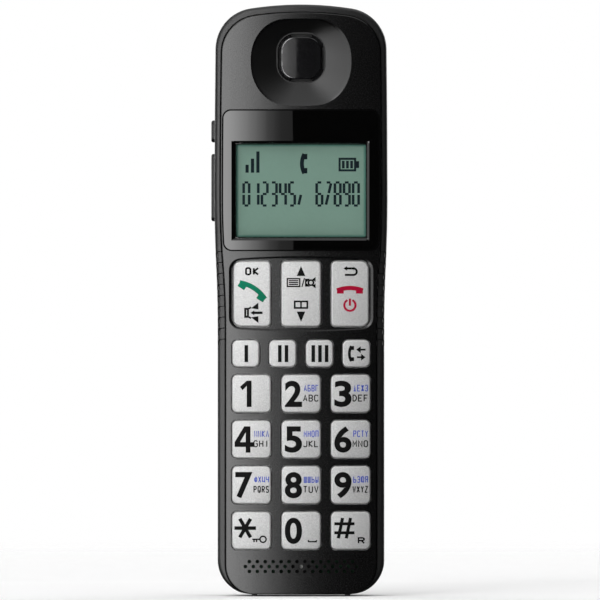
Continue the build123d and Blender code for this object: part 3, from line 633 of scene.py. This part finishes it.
for digit in "0123456789":
    key = "key_" + digit
    if digit == "1":
        faces = digit_one()
    elif digit == "4":
        faces = digit_four()
    else:
        right = DIGIT_LEFT + DIGIT_WIDTH
        faces = lettering(digit, DIGIT_LEFT, right, DIGIT_LOW, DIGIT_HIGH, 0.03)
    on_key(key, faces)
    if digit in LETTERS:
        on_key(key, penned(LETTERS[digit], 0.55, 4.85, -2.2, -0.25, 0.3), tag="letters")
        on_key(key, penned(SECOND[digit], 0.75, 4.85, 0.6, 2.45, 0.24), "blue", "second")

on_key("key_star", sum([shifted(bar(-3.0, 3.0, -0.5, 0.5), -1.75, 0.7, t) for t in (0, 60, 120)], []))
LOCK = ribbon(arc(3.2, -2.4, 0.85, 0, 360, 20)[:-1], 0.42, True) + bar(0.2, 2.3, -2.6, -2.2)
on_key("key_star", LOCK + bar(0.5, 0.9, -3.2, -2.5) + bar(1.2, 1.6, -3.2, -2.5), tag="lock")
on_key("key_0", ribbon([(2.0, -2.6), (2.1, -3.05), (4.2, -3.05), (4.3, -2.6)], 0.4), tag="space")
SLANTED = [shifted(bar(-0.45, 0.45, -2.9, 2.9), x, 0.7, -12) for x in (-2.8, -0.6)]
LEVEL = [bar(-4.5, 1.1, z - 0.42, z + 0.42) for z in (1.9, -0.6)]
on_key("key_hash", sum(SLANTED + LEVEL, []))
on_key("key_hash", penned("R", 2.0, 4.0, -3.7, -1.8, 0.42), tag="recall")

for count in (1, 2, 3):
    places = [1.85 * (i - (count - 1) / 2) + 0.15 for i in range(count)]
    on_key("key_memory_%d" % count, sum([bar(x - 0.5, x + 0.5, -2.35, 2.35) for x in places], []))


def arrow(x_from, x_to, z, width, head):
    """A straight arrow from one point to another on a level line."""
    s = 1 if x_to > x_from else -1
    neck = x_to - s * head
    faces = bar(min(x_from, neck), max(x_from, neck), z - width / 2, z + width / 2)
    return faces + [[(neck, z - head * 0.75), (x_to, z), (neck, z + head * 0.75)]]


on_key("key_intercom", shifted(handset(4.2, 0.8, 1.1, 1.3), -1.25, 0, 90)
       + arrow(2.6, 0.0, 1.1, 0.5, 1.25) + arrow(0.2, 2.6, -1.0, 0.5, 1.25))

# talk key: OK, green handset, loudspeaker
on_key("key_talk", penned("OK", -1.95, 1.95, 5.1, 7.4, 0.52), tag="ok")
on_key("key_talk", shifted(handset(8.4, 1.35, 2.2, 2.0), 0, 0.75, -33), "green", "handset")
BACK_PLATE = ribbon([(-1.9, -4.15), (-1.15, -4.15), (-1.15, -6.35), (-1.9, -6.35)], 0.58, True)
CONE = ribbon([(-0.9, -4.1), (-0.3, -3.7)], 0.5) + ribbon([(-0.9, -6.4), (-0.3, -6.8)], 0.5)
WEDGES = [[(-0.3, -4.0), (1.75, -2.4), (1.75, -4.3)], [(-0.3, -6.5), (1.75, -6.2), (1.75, -8.1)],
          [(-0.5, -5.25), (0.6, -4.6), (0.6, -5.9)]]
on_key("key_talk", BACK_PLATE + CONE + WEDGES + bar(0.6, 2.9, -5.6, -4.9), tag="loudspeaker")

# navigator: arrows, list and mute signs, book
UP = [[(-1.2, 4.95), (1.2, 4.95), (0, 7.7)]]
DOWN = [[(-1.2, -4.9), (0, -7.75), (1.2, -4.9)]]
LIST = ribbon([(-3.8, 2.05), (-0.35, 2.05), (-0.35, 4.2), (-3.8, 4.2)], 0.38, True)
LIST += sum([bar(-3.4, -0.75, z - 0.17, z + 0.17) for z in (2.6, 3.12, 3.64)], [])
MUTE = ribbon(arc(2.75, 3.1, 0.72, 0, 360, 20)[:-1], 0.48, True)
MUTE += [[(1.5, 2.0), (2.5, 2.0), (1.5, 3.0)], [(1.5, 4.2), (1.5, 3.2), (2.5, 4.2)]]
MUTE += [[(3.1, 2.2), (4.05, 1.5), (4.05, 2.9)], [(3.1, 4.0), (4.05, 3.3), (4.05, 4.7)]] + bar(1.1, 1.5, 2.0, 4.2)
SLASH = ribbon([(0.25, 1.9), (0.95, 4.35)], 0.32)
BOOK = ribbon([(-1.75, -3.9), (-1.75, -2.1), (-0.3, -2.1), (0, -2.3), (0.3, -2.1), (1.75, -2.1), (1.75, -3.9)],
              0.5, True)
on_key("key_navigator", UP + DOWN, tag="arrows")
on_key("key_navigator", LIST + SLASH + MUTE, tag="list_mute")
on_key("key_navigator", BOOK + bar(-0.22, 0.22, -3.7, -2.4), tag="book")

# end key: return arrow, red handset, power sign
BACK = ribbon([(-1.0, 7.05), (1.0, 7.05)] + arc(1.0, 6.15, 0.9, 90, -90, 12) + [(-1.4, 5.25)], 0.58)
on_key("key_end", BACK + [[(-0.8, 6.4), (-0.8, 7.7), (-1.8, 7.05)]], tag="return")
on_key("key_end", shifted(handset(7.2, 1.2, 1.9, 1.55), 0, 0.85), "red", "handset")
POWER = ribbon(arc(0, -3.15, 1.55, 115, 425, 30), 0.6) + bar(-0.3, 0.3, -3.3, -1.3)
on_key("key_end", POWER, "red", "power")


# ---------------------------------------------------------------- display content
LCD_AT = middle("lcd_glass")


def on_display(name, faces):
    printed("lcd_" + name, faces, "lcd_glass", ROOT, "lcd", LCD_AT, fineness=50)


SEGMENTS = {
    "a": ((0, 1), (1, 1)), "g": ((0, 0.5), (1, 0.5)), "d": ((0, 0), (1, 0)),
    "f": ((0, 1), (0, 0.5)), "b": ((1, 1), (1, 0.5)), "e": ((0, 0.5), (0, 0)), "c": ((1, 0.5), (1, 0)),
    "j": ((0.5, 0.5), (1, 1)), "k": ((0, 0), (0.5, 0.5)),
}
SHAPES = {"0": "abcdef", "1": "bc", "2": "abged", "3": "abgcd", "4": "fgbc", "5": "afgcd", "6": "afgedc",
          "7": "ajk", "8": "abcdefg", "9": "abcdfg", ",": "k"}


def segment(start, end, x, z, wide, tall):
    """One straight mark of a starburst character, kept clear of its neighbours."""
    a = Vector((x + start[0] * wide, z + start[1] * tall))
    b = Vector((x + end[0] * wide, z + end[1] * tall))
    step = (b - a).normalized() * 0.24
    level = abs(step.y) < 0.01
    return ribbon([tuple(a + step), tuple(b - step)], 0.62 if level else 0.74)


def starburst(text, left, low, pitch, wide, tall):
    faces = []
    for i, sign in enumerate(text):
        for mark in SHAPES.get(sign, ""):
            faces += segment(*SEGMENTS[mark], left + pitch * i, low, wide, tall)
    return faces


on_display("number", starburst("012345, 67890", -15.9, -4.2, 2.53, 1.52, 6.4))
on_display("signal", sum([bar(x, x + 0.9, 4.9, 4.9 + h) for x, h in ((-15.4, 2.2), (-13.9, 3.9), (-12.4, 5.9))], []))
on_display("call", shifted(handset(5.4, 1.1, 1.5, 1.5), 1.0, 7.4, 90))
BATTERY = ribbon([(10.7, 5.55), (15.0, 5.55), (15.0, 8.75), (10.7, 8.75)], 0.6, True) + bar(15.3, 16.1, 6.2, 8.1)
on_display("battery", BATTERY + sum([bar(x, x + 0.75, 6.1, 8.2) for x in (11.35, 12.5, 13.65)], []))


# ---------------------------------------------------------------- light, floor and camera
def emitter(name, strength, falloff=None):
    """A light card's glow, with an optional fade across the card."""
    mat = bpy.data.materials.new(name)
    mat.use_nodes = True
    tree = mat.node_tree
    tree.nodes.remove(tree.nodes["Principled BSDF"])
    glow = tree.nodes.new("ShaderNodeEmission")
    glow.inputs["Strength"].default_value = strength
    if falloff:
        layer = tree.nodes.new("ShaderNodeAttribute")
        layer.attribute_name = falloff
        tree.links.new(layer.outputs["Fac"], glow.inputs["Strength"])
    tree.links.new(glow.outputs["Emission"], tree.nodes["Material Output"].inputs["Surface"])
    return mat


def curved_card(name, radius, start, end, low, high, levels):
    """An upright light card bent round the handset; angles are from the camera's side towards the left.

    levels holds (angle, strength) pairs, and the glow runs evenly from one to the next."""
    steps = 64
    turns = [start + (end - start) * i / steps for i in range(steps + 1)]
    verts, glow = [], []
    for turn in turns:
        t = math.radians(turn)
        for z in (low, high):
            verts.append((-radius * math.sin(t), -radius * math.cos(t), z))
        for (a, ga), (b, gb) in zip(levels, levels[1:]):
            if a <= turn <= b:
                value = ga + (gb - ga) * (turn - a) / (b - a)
        glow += [value, value]
    mesh = bpy.data.meshes.new(name)
    mesh.from_pydata(verts, [], [(2 * i, 2 * i + 1, 2 * i + 3, 2 * i + 2) for i in range(steps)])
    layer = mesh.attributes.new("glow", "FLOAT", "POINT")
    layer.data.foreach_set("value", glow)
    mesh.materials.append(emitter(name, 1.0, "glow"))
    card = bpy.data.objects.new(name, mesh)
    bpy.context.scene.collection.objects.link(card)
    card.visible_camera = False
    card.visible_shadow = False


def soft_light(name, at, target, size, power):
    light = bpy.data.lights.new(name, "AREA")
    light.shape = "RECTANGLE"
    light.size, light.size_y = size
    light.energy = power
    thing = bpy.data.objects.new(name, light)
    thing.location = at
    thing.rotation_euler = (Vector(target) - Vector(at)).to_track_quat("-Z", "Y").to_euler()
    thing.visible_camera = False
    bpy.context.scene.collection.objects.link(thing)
    return thing


def white_room():
    """White behind the object, and little light from anywhere but the cards."""
    world = bpy.data.worlds.new("room")
    bpy.context.scene.world = world
    world.use_nodes = True
    tree = world.node_tree
    seen = tree.nodes.new("ShaderNodeLightPath")
    level = tree.nodes.new("ShaderNodeMapRange")
    level.inputs["To Min"].default_value = 0.02
    level.inputs["To Max"].default_value = 1.0
    tree.links.new(seen.outputs["Is Camera Ray"], level.inputs["Value"])
    tree.links.new(level.outputs["Result"], tree.nodes["Background"].inputs["Strength"])
    tree.nodes["Background"].inputs["Color"].default_value = (1, 1, 1, 1)


def pale_floor():
    size = 1.0
    mesh = bpy.data.meshes.new("floor")
    mesh.from_pydata([(-size, -size, 0), (size, -size, 0), (size, size, 0), (-size, size, 0)], [], [(0, 1, 2, 3)])
    mat, tree, shader, where = material("floor_white")
    cloud = noise(tree, where, 0.3, 2.0)
    tree.links.new(tint(tree, cloud, (0.92, 0.92, 0.92), (0.94, 0.94, 0.94)), shader.inputs["Base Color"])
    shader.inputs["Roughness"].default_value = 0.9
    far = tree.nodes.new("ShaderNodeVectorMath")
    far.operation = "LENGTH"
    tree.links.new(where, far.inputs[0])
    clear = tree.nodes.new("ShaderNodeBsdfTransparent")
    fade = tree.nodes.new("ShaderNodeMixShader")
    tree.links.new(ramp(tree, far.outputs["Value"], 0, 1, 0.2, 0.9), fade.inputs["Fac"])
    tree.links.new(shader.outputs["BSDF"], fade.inputs[1])
    tree.links.new(clear.outputs["BSDF"], fade.inputs[2])
    tree.links.new(fade.outputs["Shader"], tree.nodes["Material Output"].inputs["Surface"])
    mesh.materials.append(mat)
    floor = bpy.data.objects.new("floor", mesh)
    bpy.context.scene.collection.objects.link(floor)
    floor.visible_glossy = False


def camera():
    low, high = Vector(cad_box[0]), Vector(cad_box[1])
    data = bpy.data.cameras.new("camera")
    data.sensor_width = 36.0
    distance, view_height = 4.0, 166.2 * MM
    data.lens = data.sensor_width * (distance + low.y) / view_height
    thing = bpy.data.objects.new("camera", data)
    thing.location = (-0.28 * MM, -distance, (high.z + low.z) / 2 + 0.1 * MM)
    thing.rotation_euler = (math.radians(90), 0, 0)
    bpy.context.scene.collection.objects.link(thing)
    bpy.context.scene.camera = thing


KEY_LIGHT = [(1.9, 0.4), (5.0, 0.5), (8.0, 1.2), (12.0, 3.5), (17.0, 7.0), (23.0, 8.5), (28.0, 1.6), (65.0, 1.3)]
curved_card("card_left", 1.2, 1.9, 65.0, -0.7, 1.1, KEY_LIGHT)
soft_light("overhead", (0, 0, 2.6), (0, 0, 0), (5.0, 5.0), 100)
soft_light("rear_left", (-1.3, 1.3, 0.5), (0, 0, 0.08), (0.8, 1.2), 12)
soft_light("rear_right", (1.3, 1.1, 0.5), (0, 0, 0.08), (0.6, 1.2), 12)
white_room()
pale_floor()
camera()
bpy.context.scene.view_settings.view_transform = "Standard"
